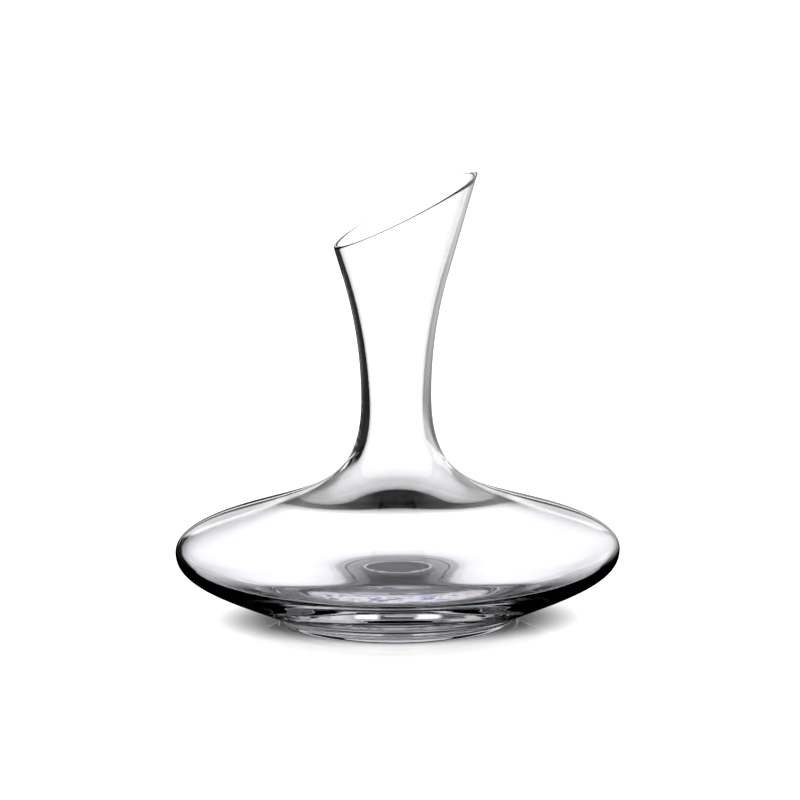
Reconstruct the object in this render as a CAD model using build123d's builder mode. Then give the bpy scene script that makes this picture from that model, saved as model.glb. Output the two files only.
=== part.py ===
"""A wide, low wine decanter in clear crystal glass, mouth blown and standing on a ring foot.

The finished vessel is one continuous wall of glass. It is worked in five zones, and each zone
is one piece here: the heavy pushed-up base, the bowl up to its widest ring, the shoulder that
closes over it, the neck that opens into a slanted pouring funnel, and the fire-polished lip.
Neighbouring zones meet face to face all round.

Millimetres. +Z is up and the vessel's axis. The origin is on the table, at the middle of the
standing ring. The lip's high point, over which the wine is poured, faces +X.
"""

import os
from math import cos, radians, sin

from build123d import *

# ---- outside --------------------------------------------------------------------------------
widest_radius = 110.0
widest_height = 35.0
foot_radius = 59.0  # the low ring foot under the bowl
foot_side_height = 2.2
foot_top_radius = 62.0  # where the foot's side turns out into the bowl
foot_top_height = 4.7
standing_ring_inner = 50.5  # the flat band that touches the table
standing_ring_outer = 56.5
shoulder_radius = 63.0  # a point half way up the shoulder
shoulder_height = 57.7
throat_radius = 17.3  # the neck at its slimmest
throat_height = 112.0
funnel_radius = 25.9  # where the neck's curve has become the funnel's straight side
funnel_height = 172.0

# headings of the outline, in degrees from straight outward, turning towards straight up
underside_heading = 24.2
shoulder_heading = 161.0
funnel_heading = 73.5
inner_funnel_heading = 72.4  # a little flatter, so that the wall thins towards the lip

# ---- wall: its thickness square to the outside, at fractions of the way along a run ---------
bowl_walls = ((0.4, 5.3), (0.7, 4.3), (0.86, 3.6), (1.0, 3.0))  # from the foot to the widest ring
shoulder_walls = ((0.14, 2.7), (0.34, 2.5), (0.62, 2.1), (1.0, 1.7))  # on, half way up the shoulder
root_walls = ((0.18, 1.95), (0.32, 2.75), (0.46, 3.8), (0.6, 4.8), (0.78, 4.7), (1.0, 4.0))  # to throat
widest_wall = bowl_walls[-1][1]
throat_wall = root_walls[-1][1]
funnel_wall = 2.6

# ---- the pushed-up base ---------------------------------------------------------------------
hollow_height = 9.0  # of the hollow underneath, at the middle
hollow_edge_heading = -53.1  # of the hollow's roof where it comes down to the standing ring
dome_height = 18.5  # of the dome in the floor of the bowl
trough_radius = 60.0  # the ring round the dome, where the wine's last drops gather
trough_height = 12.0
trough_heading = -8.1

# ---- the slanted cut ------------------------------------------------------------------------
lip_slant = 26.6  # degrees from level
lip_middle_height = 202.9  # where the cut's plane crosses the axis
lip_depth = 4.0  # of the fire-polished band, square to the cut
lip_rounding = 0.6  # radius on both edges of the cut
blank_height = 250.0  # the funnel is drawn longer than needed, then cut on the slant

# ---- seam between shoulder and neck ---------------------------------------------------------
neck_seam_height = 80.0

# ---- stations of the outline, as (radius, height) -------------------------------------------
hollow_middle = (0, hollow_height)
ring_inner = (standing_ring_inner, 0)
ring_outer = (standing_ring_outer, 0)
foot_side = (foot_radius, foot_side_height)
foot_top = (foot_top_radius, foot_top_height)
widest = (widest_radius, widest_height)
shoulder_middle = (shoulder_radius, shoulder_height)
throat = (throat_radius, throat_height)
funnel = (funnel_radius, funnel_height)

dome_middle = (0, dome_height)
trough = (trough_radius, trough_height)
widest_inside = (widest_radius - widest_wall, widest_height)
throat_inside = (throat_radius - throat_wall, throat_height)
funnel_inside = (funnel_radius - funnel_wall, funnel_height)

OUTWARD = 0
UPWARD = 90


def stretch(start, leaving, start_pull, end, arriving, end_pull):
    """A smooth stretch of outline between two stations.

    It leaves the start and reaches the end along the given headings. Each pull is how far the
    curve keeps near that heading, in millimetres.
    """
    first = (
        start[0] + start_pull * cos(radians(leaving)),
        start[1] + start_pull * sin(radians(leaving)),
    )
    second = (
        end[0] - end_pull * cos(radians(arriving)),
        end[1] - end_pull * sin(radians(arriving)),
    )
    return Bezier(start, first, second, end)


def smooth_run(points, leaving, arriving):
    """A smooth run of outline through a row of points, with the headings of its two ends."""
    ends = [(cos(radians(heading)), sin(radians(heading))) for heading in (leaving, arriving)]
    Spline(points, tangents=ends, tangent_scalars=(1, 1))


def inside_points(outside, walls):
    """Points on the inside of the wall, measured square in from a run of the outside."""
    points = []
    for along, thickness in walls:
        inward = (outside % along).rotate(Axis.Z, 90)
        points.append(outside @ along + inward * thickness)
    return points


def draw_bowl():
    """The wall from the foot out and up to the widest ring."""
    outside = stretch(foot_top, underside_heading, 38, widest, UPWARD, 11)
    Line(widest, widest_inside)
    smooth_run([trough, *inside_points(outside, bowl_walls)], trough_heading, UPWARD)


def draw_shoulder():
    """The wall from the widest ring in over the shoulder, and up to the throat."""
    shoulder_outside = stretch(widest, UPWARD, 9.5, shoulder_middle, shoulder_heading, 30)
    root_outside = stretch(shoulder_middle, shoulder_heading, 33, throat, UPWARD, 36)
    shoulder_points = inside_points(shoulder_outside, shoulder_walls)
    root_points = inside_points(root_outside, root_walls)
    smooth_run([widest_inside, *shoulder_points, *root_points], UPWARD, UPWARD)
    Line(widest_inside, widest)


def draw_flare_outside():
    """From the throat up to the straight side of the funnel."""
    stretch(throat, UPWARD, 20, funnel, funnel_heading, 20)


def draw_flare_inside():
    """The same run on the inside."""
    stretch(throat_inside, UPWARD, 20, funnel_inside, inner_funnel_heading, 20)


def draw_funnel():
    """Both straight sides of the funnel, closed across the top of the blank."""
    rise = blank_height - funnel_height
    outside = PolarLine(funnel, rise, funnel_heading, length_mode=LengthMode.VERTICAL)
    inside = PolarLine(funnel_inside, rise, inner_funnel_heading, length_mode=LengthMode.VERTICAL)
    Line(outside @ 1, inside @ 1)


def cut_plane(depth):
    """The plane of the slanted cut, or one parallel to it further down the funnel."""
    lean = radians(lip_slant)
    facing = Vector(-sin(lean), 0, cos(lean))
    return Plane(origin=Vector(0, 0, lip_middle_height) - facing * depth, z_dir=facing)


os.makedirs("parts", exist_ok=True)

# ---- base: the thick bottom with its ring foot, pushed up in the middle into a dome ---------
with BuildPart() as base:
    with BuildSketch(Plane.XZ):
        with BuildLine():
            stretch(hollow_middle, OUTWARD, 40, ring_inner, hollow_edge_heading, 7.5)
            Line(ring_inner, ring_outer)
            stretch(ring_outer, OUTWARD, 1.7, foot_side, UPWARD, 1.4)
            stretch(foot_side, UPWARD, 1.2, foot_top, underside_heading, 2)
            Line(foot_top, trough)
            stretch(dome_middle, OUTWARD, 14, trough, trough_heading, 14)
            Line(dome_middle, hollow_middle)
        make_face()
    revolve(axis=Axis.Z)
base.part.label = "base"
export_step(base.part, "parts/base.step")

# ---- bowl: the wall below the widest ring, thick at the base and thinning outward -----------
with BuildPart() as bowl:
    with BuildSketch(Plane.XZ):
        with BuildLine():
            draw_bowl()
            Line(trough, foot_top)
        make_face()
    revolve(axis=Axis.Z)
bowl.part.label = "bowl"
export_step(bowl.part, "parts/bowl.step")

# ---- shoulder: the wall above the widest ring, closing in to the root of the neck -----------
with BuildPart() as shoulder:
    with BuildSketch(Plane.XZ):
        with BuildLine():
            draw_shoulder()
            Line(throat, throat_inside)
        make_face()
    revolve(axis=Axis.Z)
    split(bisect_by=Plane.XY.offset(neck_seam_height), keep=Keep.BOTTOM)
shoulder.part.label = "shoulder"
export_step(shoulder.part, "parts/shoulder.step")

# ---- neck: from its root through the throat and up the flare, nearly to the cut -------------
with BuildPart() as neck:
    with BuildSketch(Plane.XZ):
        with BuildLine():
            draw_shoulder()
            draw_flare_outside()
            draw_funnel()
            draw_flare_inside()
        make_face()
    revolve(axis=Axis.Z)
    split(bisect_by=Plane.XY.offset(neck_seam_height), keep=Keep.TOP)
    split(bisect_by=cut_plane(lip_depth), keep=Keep.BOTTOM)
neck.part.label = "neck"
export_step(neck.part, "parts/neck.step")

# ---- lip: the band along the cut, both of its edges melted round by the flame ---------------
with BuildPart() as lip:
    with BuildSketch(Plane.XZ):
        with BuildLine():
            draw_funnel()
            Line(funnel_inside, funnel)
        make_face()
    revolve(axis=Axis.Z)
    split(bisect_by=cut_plane(lip_depth), keep=Keep.TOP)
    split(bisect_by=cut_plane(0), keep=Keep.BOTTOM)
    rim = lip.faces().sort_by(Axis(origin=(0, 0, 0), direction=cut_plane(0).z_dir))[-1]
    fillet(rim.edges(), radius=lip_rounding)
lip.part.label = "lip"
export_step(lip.part, "parts/lip.step")
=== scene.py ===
"""A wide, low wine decanter in clear crystal, standing on a white studio table."""

import math

import bpy
import numpy as np
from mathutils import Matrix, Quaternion, Vector


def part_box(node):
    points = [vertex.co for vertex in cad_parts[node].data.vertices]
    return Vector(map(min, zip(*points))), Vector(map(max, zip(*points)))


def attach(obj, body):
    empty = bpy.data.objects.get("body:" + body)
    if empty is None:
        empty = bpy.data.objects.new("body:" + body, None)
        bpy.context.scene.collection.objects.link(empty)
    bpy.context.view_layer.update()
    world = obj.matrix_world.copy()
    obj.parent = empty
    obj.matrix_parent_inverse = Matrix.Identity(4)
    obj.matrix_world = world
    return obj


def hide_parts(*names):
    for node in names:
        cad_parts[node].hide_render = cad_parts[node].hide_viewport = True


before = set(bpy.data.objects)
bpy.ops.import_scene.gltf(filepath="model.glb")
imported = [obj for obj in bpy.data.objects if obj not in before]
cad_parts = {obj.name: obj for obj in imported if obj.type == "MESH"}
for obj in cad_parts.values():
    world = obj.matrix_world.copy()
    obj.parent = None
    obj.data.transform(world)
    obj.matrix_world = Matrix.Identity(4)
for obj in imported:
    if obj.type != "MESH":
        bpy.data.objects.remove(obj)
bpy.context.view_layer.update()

# ==== Vessel =================================================================================
# The whole decanter is one wall of clear lead-free crystal. It is blown into a wet mould, pulled
# out into a shallow bowl and drawn up into a neck; the bottom is pushed up while still soft, the
# funnel is cut on the slant, and the flame melts the cut edge round. Nothing is fixed on.

base_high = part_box("base")[1]
bowl_low, bowl_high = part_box("bowl")
widest = (bowl_high[0], bowl_high[2])
foot_top = (base_high[0], bowl_low[2])
dome_middle = (0.0, base_high[2])
trough = (0.060, 0.012)  # the ring round the dome, where the last drops gather
hollow_middle = (0.0, 0.0090)
ring_inner = (0.0505, 0.0)  # the flat band that stands on the table
ring_outer = (0.0565, 0.0)
foot_side = (0.0590, 0.0022)
shoulder_middle = (0.0630, 0.0577)
throat = (0.0173, 0.1120)
funnel_start = (0.0259, 0.1720)

row_spacing = 0.0012
columns = 176


def bend(start, leave_towards, arrive_from, end):
    """Evenly spaced points of one smooth bend of the wall, as rows of (radius, height)."""
    corners = [np.array(corner, float) for corner in (start, leave_towards, arrive_from, end)]
    rough_length = sum(np.linalg.norm(b - a) for a, b in zip(corners, corners[1:]))
    count = max(6, int(rough_length / row_spacing))
    t = np.linspace(0.0, 1.0, 8 * count + 1)[:, None]
    fine = (
        (1 - t) ** 3 * corners[0]
        + 3 * t * (1 - t) ** 2 * corners[1]
        + 3 * t * t * (1 - t) * corners[2]
        + t ** 3 * corners[3]
    )
    along = np.concatenate([[0.0], np.cumsum(np.hypot(*np.diff(fine, axis=0).T))])
    even = np.linspace(0.0, along[-1], count + 1)
    return np.stack([np.interp(even, along, fine[:, 0]), np.interp(even, along, fine[:, 1])], 1)


def joined(bends):
    """Bends end to end as one run, without the doubled points where they meet."""
    return np.vstack([bends[0]] + [points[1:] for points in bends[1:]])


underside = joined([
    bend(hollow_middle, (0.0400, 0.0090), (0.0460, 0.0060), ring_inner),
    bend(ring_inner, (0.0525, 0.0), (0.0545, 0.0), ring_outer),
    bend(ring_outer, (0.0582, 0.0), (0.0590, 0.0008), foot_side),
    bend(foot_side, (0.0590, 0.0034), (0.0602, 0.0039), foot_top),
])
bowl_run = bend(foot_top, (0.0967, 0.0203), (widest[0], 0.0240), widest)
shoulder_run = bend(widest, (widest[0], 0.0445), (0.0914, 0.04795), shoulder_middle)
root_run = bend(shoulder_middle, (0.0318, 0.0684), (0.0173, 0.0760), throat)
flare_run = bend(throat, (0.0173, 0.1320), (0.0202, 0.1528), funnel_start)
outside = joined([bowl_run, shoulder_run, root_run, flare_run])

# how thick the wall is, square to the outside, at fractions of the way along each run
wall_stations = (
    (bowl_run, ((0.4, 0.0053), (0.7, 0.0043), (0.86, 0.0036), (1.0, 0.0030))),
    (shoulder_run, ((0.14, 0.0027), (0.34, 0.0025), (0.62, 0.0021), (1.0, 0.0017))),
    (root_run, (
        (0.18, 0.00195), (0.32, 0.00275), (0.46, 0.0038), (0.6, 0.0048), (0.78, 0.0047), (1.0, 0.0040),
    )),
    (flare_run, ((1.0, 0.0026),)),
)


def smooth_through(known_at, known, wanted_at):
    """A curve with no kink in its bending, through known values."""
    gaps = np.diff(known_at)
    slopes = np.diff(known) / gaps
    count = len(known_at)
    matrix = np.eye(count)
    right = np.zeros(count)
    for k in range(1, count - 1):
        matrix[k, k - 1:k + 2] = gaps[k - 1], 2 * (gaps[k - 1] + gaps[k]), gaps[k]
        right[k] = 6 * (slopes[k] - slopes[k - 1])
    bending = np.linalg.solve(matrix, right)
    k = np.clip(np.searchsorted(known_at, wanted_at) - 1, 0, count - 2)
    past = wanted_at - known_at[k]
    start_slope = slopes[k] - gaps[k] * (2 * bending[k] + bending[k + 1]) / 6
    return (
        known[k]
        + past * start_slope
        + past ** 2 * bending[k] / 2
        + past ** 3 * (bending[k + 1] - bending[k]) / (6 * gaps[k])
    )


station_at = []
station_wall = []
run_start = 0.0
for run, stations in wall_stations:
    run_length = np.hypot(*np.diff(run, axis=0).T).sum()
    for fraction, thickness in stations:
        station_at.append(run_start + fraction * run_length)
        station_wall.append(thickness)
    run_start += run_length

outside_at = np.concatenate([[0.0], np.cumsum(np.hypot(*np.diff(outside, axis=0).T))])
heading = np.gradient(outside, outside_at, axis=0)
heading /= np.hypot(heading[:, 0], heading[:, 1])[:, None]
inward = np.stack([-heading[:, 1], heading[:, 0]], 1)
thin_part = outside_at >= station_at[0]
wall = smooth_through(np.array(station_at), np.array(station_wall), outside_at[thin_part])
inside_wall = outside[thin_part] + inward[thin_part] * wall[:, None]

wall_foot = inside_wall[0]
wall_foot_heading = inside_wall[1] - inside_wall[0]
wall_foot_heading /= np.linalg.norm(wall_foot_heading)
floor_of_bowl = joined([
    bend(dome_middle, (0.0140, dome_middle[1]), (0.0460, 0.0140), trough),
    bend(trough, (0.0660, 0.01115), wall_foot - 0.009 * wall_foot_heading, wall_foot),
])
inside = joined([floor_of_bowl, inside_wall])

# the slanted cut, and the flame-rounded edge on it
cut_slope = math.tan(math.radians(26.6))
cut_middle_height = 0.2023
outer_spread = math.tan(math.radians(16.5))  # how fast the funnel widens
inner_spread = math.tan(math.radians(17.6))  # a little faster, so that the wall thins to the edge
edge_lean = math.radians(16.7)  # of the edge's rounding, from straight up
edge_rise = 0.0006
funnel_rows = 34
edge_rows = 10

around = np.arange(columns) * 2 * math.pi / columns
cosines, sines = np.cos(around), np.sin(around)


def at_cut(start, spread):
    """Where a straight side of the funnel comes to the edge, for each column."""
    reach = start[0] - start[1] * spread
    height = (cut_middle_height + reach * cosines * cut_slope) / (1 - spread * cosines * cut_slope)
    height = height - edge_rise
    return start[0] + (height - start[1]) * spread, height


def ring(radius, height):
    """One ring of the wall, a point for each column."""
    return np.stack([radius * cosines, radius * sines, height + 0 * cosines], 1)


outer_edge = np.stack(at_cut(outside[-1], outer_spread))
inner_edge = np.stack(at_cut(inside[-1], inner_spread))
edge_middle = (outer_edge + inner_edge) / 2
edge_reach = (outer_edge - inner_edge) / 2
up_the_funnel = np.array([[math.sin(edge_lean)], [math.cos(edge_lean)]])

rings = [ring(*point) for point in joined([underside, outside])[1:]]
for k in range(1, funnel_rows + 1):
    step = k / funnel_rows
    rings.append(ring(*(outside[-1][:, None] * (1 - step) + outer_edge * step)))
for k in range(1, edge_rows):
    turn = math.pi * k / edge_rows
    across = edge_reach * math.cos(turn)
    over = up_the_funnel * edge_rise * math.sin(turn)
    rings.append(ring(*(edge_middle + across + over)))
for k in range(funnel_rows, 0, -1):
    step = k / funnel_rows
    rings.append(ring(*(inside[-1][:, None] * (1 - step) + inner_edge * step)))
rings += [ring(*point) for point in inside[::-1][:-1]]

points = [(0.0, 0.0, hollow_middle[1])] + np.vstack(rings).tolist() + [(0.0, 0.0, dome_middle[1])]
last_point = len(points) - 1
faces = []
for k in range(columns):
    faces.append((0, 1 + (k + 1) % columns, 1 + k))
for row in range(len(rings) - 1):
    here = 1 + row * columns
    above = here + columns
    for k in range(columns):
        beside = (k + 1) % columns
        faces.append((here + k, here + beside, above + beside, above + k))
for k in range(columns):
    faces.append((last_point, last_point - columns + k, last_point - columns + (k + 1) % columns))

vessel_mesh = bpy.data.meshes.new("vessel")
vessel_mesh.from_pydata(points, [], faces)
vessel_mesh.update()
for face in vessel_mesh.polygons:
    face.use_smooth = True
vessel = bpy.data.objects.new("vessel", vessel_mesh)
bpy.context.scene.collection.objects.link(vessel)

crystal = bpy.data.materials.new("clear_crystal")
crystal.use_nodes = True
nodes = crystal.node_tree.nodes
links = crystal.node_tree.links
nodes.clear()
crystal_out = nodes.new("ShaderNodeOutputMaterial")
glass = nodes.new("ShaderNodeBsdfPrincipled")
glass.inputs["IOR"].default_value = 1.52
glass.inputs["Transmission Weight"].default_value = 1.0
glass.inputs["Metallic"].default_value = 0.0
links.new(glass.outputs["BSDF"], crystal_out.inputs["Surface"])


def math_node(operation, first, second=None, third=None):
    """One Math node of the material or light being made, fed by sockets or plain numbers."""
    node = nodes.new("ShaderNodeMath")
    node.operation = operation
    for slot_number, value in enumerate((first, second, third)):
        if value is None:
            continue
        if isinstance(value, (int, float)):
            node.inputs[slot_number].default_value = value
        else:
            links.new(value, node.inputs[slot_number])
    return node.outputs["Value"]


def smooth_step(value, start, end, from_value=0.0, to_value=1.0):
    """from_value up to start, to_value past end, and smooth between them."""
    node = nodes.new("ShaderNodeMapRange")
    node.interpolation_type = "SMOOTHSTEP"
    node.inputs["From Min"].default_value = start
    node.inputs["From Max"].default_value = end
    node.inputs["To Min"].default_value = from_value
    node.inputs["To Max"].default_value = to_value
    links.new(value, node.inputs["Value"])
    return node.outputs["Result"]


place = nodes.new("ShaderNodeTexCoord")
place_parts = nodes.new("ShaderNodeSeparateXYZ")
links.new(place.outputs["Object"], place_parts.inputs["Vector"])

# slow unevenness left by blowing and turning
turning = nodes.new("ShaderNodeMapping")
turning.inputs["Scale"].default_value = (14.0, 14.0, 20.0)
links.new(place.outputs["Object"], turning.inputs["Vector"])
unevenness = nodes.new("ShaderNodeTexNoise")
unevenness.inputs["Scale"].default_value = 1.0
unevenness.inputs["Detail"].default_value = 1.0
links.new(turning.outputs["Vector"], unevenness.inputs["Vector"])
blown = nodes.new("ShaderNodeBump")
blown.inputs["Strength"].default_value = 0.25
blown.inputs["Distance"].default_value = 0.0006
links.new(unevenness.outputs["Fac"], blown.inputs["Height"])
links.new(blown.outputs["Normal"], glass.inputs["Normal"])

# the faintest blue-violet of the melt, a little stronger low down where the glass is thick
melt = nodes.new("ShaderNodeValToRGB")
melt.color_ramp.elements[0].position = 0.0
melt.color_ramp.elements[0].color = (0.962, 0.962, 1.0, 1.0)
melt.color_ramp.elements[1].position = 1.0
melt.color_ramp.elements[1].color = (0.985, 0.985, 1.0, 1.0)
depth = nodes.new("ShaderNodeMapRange")
depth.inputs["From Min"].default_value = 0.0
depth.inputs["From Max"].default_value = 0.06
links.new(place_parts.outputs["Z"], depth.inputs["Value"])
links.new(depth.outputs["Result"], melt.inputs["Fac"])
links.new(melt.outputs["Color"], glass.inputs["Base Color"])

# the standing ring is scuffed by tables; everything above it is flame bright
scuff_height = smooth_step(place_parts.outputs["Z"], 0.0006, 0.0001)
scratches = nodes.new("ShaderNodeTexNoise")
scratches.inputs["Scale"].default_value = 900.0
scratches.inputs["Detail"].default_value = 3.0
links.new(place.outputs["Object"], scratches.inputs["Vector"])
scuff = math_node("MULTIPLY", scuff_height, scratches.outputs["Fac"])
dullness = nodes.new("ShaderNodeMapRange")
dullness.inputs["To Min"].default_value = 0.0
dullness.inputs["To Max"].default_value = 0.30
links.new(scuff, dullness.inputs["Value"])
links.new(dullness.outputs["Result"], glass.inputs["Roughness"])

vessel_mesh.materials.append(crystal)
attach(vessel, "root")
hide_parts("base", "bowl", "shoulder", "neck", "lip")

# ==== Table ==================================================================================
# A sheet of opal acrylic on a light table: it scatters the studio's light and glows from below, with a
# painted shadow beside the foot and painted caustic threads under it. Where the sheet is seen by way
# of a mirroring in the glass, it shows its own painted light and shade, darker than where it is seen
# directly.

table_radius = 3.0
table_sides = 160
table_mesh = bpy.data.meshes.new("table")
table_height = -0.0002  # just clear of the standing ring
table_rim = []
for k in range(table_sides):
    turn = 2 * math.pi * k / table_sides
    table_rim.append((table_radius * math.cos(turn), table_radius * math.sin(turn), table_height))
table_mesh.from_pydata(table_rim, [], [list(range(table_sides))])
table = bpy.data.objects.new("table", table_mesh)
bpy.context.scene.collection.objects.link(table)

paper = bpy.data.materials.new("white_table")
paper.use_nodes = True
nodes = paper.node_tree.nodes
links = paper.node_tree.links
nodes.clear()
paper_out = nodes.new("ShaderNodeOutputMaterial")
matt = nodes.new("ShaderNodeBsdfDiffuse")
matt.inputs["Color"].default_value = (0.25, 0.25, 0.25, 1.0)
spot = nodes.new("ShaderNodeNewGeometry")
away = nodes.new("ShaderNodeVectorMath")
away.operation = "LENGTH"
links.new(spot.outputs["Position"], away.inputs[0])


def ring_step(start, end, from_value, to_value):
    """A value on the table that changes smoothly between two distances from the middle."""
    return smooth_step(away.outputs["Value"], start, end, from_value, to_value)


# painted shadow beside the foot: the glow is dimmed there, further out to the sides than to the front
shadow_reach = (0.098, 0.066)
shadow_shape = nodes.new("ShaderNodeMapping")
shadow_shape.inputs["Scale"].default_value = (1 / shadow_reach[0], 1 / shadow_reach[1], 0.0)
links.new(spot.outputs["Position"], shadow_shape.inputs["Vector"])
shadow_distance = nodes.new("ShaderNodeVectorMath")
shadow_distance.operation = "LENGTH"
links.new(shadow_shape.outputs["Vector"], shadow_distance.inputs[0])
shadow_edge = smooth_step(shadow_distance.outputs["Value"], 0.62, 1.0)
under_foot = ring_step(0.046, 0.053, 1.0, 0.0)
full_glow = 1.1
glow_strength = math_node("MULTIPLY", math_node("MAXIMUM", under_foot, shadow_edge), full_glow)
glow = nodes.new("ShaderNodeEmission")
links.new(glow_strength, glow.inputs["Strength"])

# painted caustic light: bright threads with coloured fringes in the glow under the thick bottom
painted_caustic_threads = nodes.new("ShaderNodeTexNoise")
painted_caustic_threads.inputs["Scale"].default_value = 70.0
painted_caustic_threads.inputs["Detail"].default_value = 2.0
painted_caustic_threads.inputs["Distortion"].default_value = 1.2
links.new(spot.outputs["Position"], painted_caustic_threads.inputs["Vector"])
painted_caustic_fringes = nodes.new("ShaderNodeValToRGB")
for position, colour in (
    (0.36, (0.04, 0.04, 0.09, 1.0)),
    (0.42, (0.35, 0.42, 0.85, 1.0)),
    (0.47, (1.0, 0.98, 1.0, 1.0)),
    (0.56, (0.95, 0.96, 1.0, 1.0)),
    (0.60, (0.95, 0.66, 0.45, 1.0)),
    (0.64, (0.10, 0.10, 0.16, 1.0)),
):
    painted_caustic_fringes.color_ramp.elements.new(position).color = colour
painted_caustic_fringes.color_ramp.elements.remove(painted_caustic_fringes.color_ramp.elements[-1])
painted_caustic_fringes.color_ramp.elements.remove(painted_caustic_fringes.color_ramp.elements[0])
links.new(painted_caustic_threads.outputs["Fac"], painted_caustic_fringes.inputs["Fac"])
painted_caustic_colour = nodes.new("ShaderNodeMix")
painted_caustic_colour.data_type = "RGBA"
painted_caustic_colour.inputs[6].default_value = (1.0, 1.0, 1.0, 1.0)
links.new(under_foot, painted_caustic_colour.inputs["Factor"])
links.new(painted_caustic_fringes.outputs["Color"], painted_caustic_colour.inputs[7])
links.new(painted_caustic_colour.outputs[2], glow.inputs["Color"])
scattered = nodes.new("ShaderNodeAddShader")
links.new(matt.outputs["BSDF"], scattered.inputs[0])
links.new(glow.outputs["Emission"], scattered.inputs[1])
polish = nodes.new("ShaderNodeBsdfGlossy")
polish.inputs["Roughness"].default_value = 0.03
lit = nodes.new("ShaderNodeMixShader")
links.new(ring_step(0.066, 0.110, 0.30, 0.0), lit.inputs["Fac"])
links.new(scattered.outputs["Shader"], lit.inputs[1])
links.new(polish.outputs["BSDF"], lit.inputs[2])

# painted light and shade of the table as the glass mirrors it: dark near the foot and to the left,
# lighter far to the right, and white a long way off straight behind
spot_parts = nodes.new("ShaderNodeSeparateXYZ")
links.new(spot.outputs["Position"], spot_parts.inputs["Vector"])
to_right = smooth_step(spot_parts.outputs["X"], -0.15, 0.30, 0.03, 0.65)
side_light = math_node("MULTIPLY", ring_step(0.20, 0.60, 0.0, 1.0), to_right)
spot_bearing = math_node("ARCTAN2", spot_parts.outputs["X"], spot_parts.outputs["Y"])
off_axis = math_node("ABSOLUTE", spot_bearing)
straight_behind = smooth_step(off_axis, math.radians(14.0), math.radians(22.0), 1.3, 0.0)
back_light = math_node("MULTIPLY", straight_behind, ring_step(0.80, 1.00, 0.0, 1.0))
painted_mirror_shade = nodes.new("ShaderNodeEmission")
links.new(math_node("MAXIMUM", side_light, back_light), painted_mirror_shade.inputs["Strength"])
light_path = nodes.new("ShaderNodeLightPath")
is_mirrored = math_node("GREATER_THAN", light_path.outputs["Glossy Depth"], 0.5)
either = nodes.new("ShaderNodeMixShader")
links.new(is_mirrored, either.inputs["Fac"])
links.new(lit.outputs["Shader"], either.inputs[1])
links.new(painted_mirror_shade.outputs["Emission"], either.inputs[2])
links.new(either.outputs["Shader"], paper_out.inputs["Surface"])
table_mesh.materials.append(paper)

# ==== Studio light ===========================================================================
# An even white sweep all round. What the glass mirrors is a darker room with soft boxes: a wide
# one high behind the vessel, a faint low one under it, a broad one to the right, and a narrow low
# one at each side of straight behind.

studio = bpy.data.worlds.new("studio")
bpy.context.scene.world = studio
studio.use_nodes = True
nodes = studio.node_tree.nodes
links = studio.node_tree.links
nodes.clear()
studio_out = nodes.new("ShaderNodeOutputWorld")
sweep = nodes.new("ShaderNodeBackground")
sweep.inputs["Color"].default_value = (1.0, 1.0, 1.0, 1.0)
links.new(sweep.outputs["Background"], studio_out.inputs["Surface"])
direction = nodes.new("ShaderNodeTexCoord")
direction_parts = nodes.new("ShaderNodeSeparateXYZ")
links.new(direction.outputs["Generated"], direction_parts.inputs["Vector"])

degrees = 180 / math.pi
bearing = math_node("ARCTAN2", direction_parts.outputs["X"], direction_parts.outputs["Y"])
bearing = math_node("MULTIPLY", bearing, degrees)
elevation = math_node("MULTIPLY", math_node("ARCSINE", direction_parts.outputs["Z"]), degrees)


def soft_box(box_bearing, box_elevation, half_width, half_height, soft_width, soft_height, strength):
    """One soft box in the mirrored room: bearing from straight behind the vessel, to the right."""
    off = math_node("SUBTRACT", bearing, float(box_bearing))
    off = math_node("ABSOLUTE", math_node("WRAP", off, 180.0, -180.0))
    up = math_node("ABSOLUTE", math_node("SUBTRACT", elevation, float(box_elevation)))
    across = smooth_step(off, half_width - soft_width, half_width + soft_width, 1.0, 0.0)
    upright = smooth_step(up, half_height - soft_height, half_height + soft_height, 1.0, 0.0)
    return math_node("MULTIPLY", math_node("MULTIPLY", across, upright), strength)


mirrored_room = 0.01  # between the boxes
for box in (  # bearing, elevation, half width, half height, softness of each, and strength
    (0, 40, 45, 22, 8, 8, 0.75),
    (0, 15, 12, 6, 5, 4, 0.33),
    (-9, 6, 3.5, 4.5, 1.2, 2, 1.5),
    (9, 6, 3.5, 4.5, 1.2, 2, 1.5),
    (40, 2, 28, 24, 5, 8, 1.00),
):
    mirrored_room = math_node("MAXIMUM", mirrored_room, soft_box(*box))
studio_path = nodes.new("ShaderNodeLightPath")
seen_mirrored = math_node("GREATER_THAN", studio_path.outputs["Glossy Depth"], 0.5)
brightness = nodes.new("ShaderNodeMix")
brightness.data_type = "FLOAT"
brightness.inputs["A"].default_value = 1.3
links.new(seen_mirrored, brightness.inputs["Factor"])
links.new(mirrored_room, brightness.inputs["B"])
links.new(brightness.outputs["Result"], sweep.inputs["Strength"])

scene = bpy.context.scene
scene.view_settings.view_transform = "Standard"
scene.cycles.max_bounces = 32
scene.cycles.transmission_bounces = 32
scene.cycles.glossy_bounces = 16

# ==== Camera =================================================================================
# A long lens a few steps back and a little above the vessel, tipped by half a degree.

camera_data = bpy.data.cameras.new("camera")
camera = bpy.data.objects.new("camera", camera_data)
scene.collection.objects.link(camera)
look_down = math.radians(10.8)
stand_back = 2.7
aim_height = 0.110
camera.location = (0.0, -stand_back * math.cos(look_down), aim_height + stand_back * math.sin(look_down))
towards_vessel = Vector((0.0, 0.0, aim_height)) - camera.location
tip = Quaternion((0.0, 0.0, 1.0), math.radians(-0.5))
camera.rotation_mode = "QUATERNION"
camera.rotation_quaternion = towards_vessel.to_track_quat("-Z", "Y") @ tip
camera_data.sensor_width = 36.0
camera_data.lens = 246.6
camera_data.shift_x = 0.0046
camera_data.clip_end = 50.0
scene.camera = camera

bpy.context.view_layer.update()
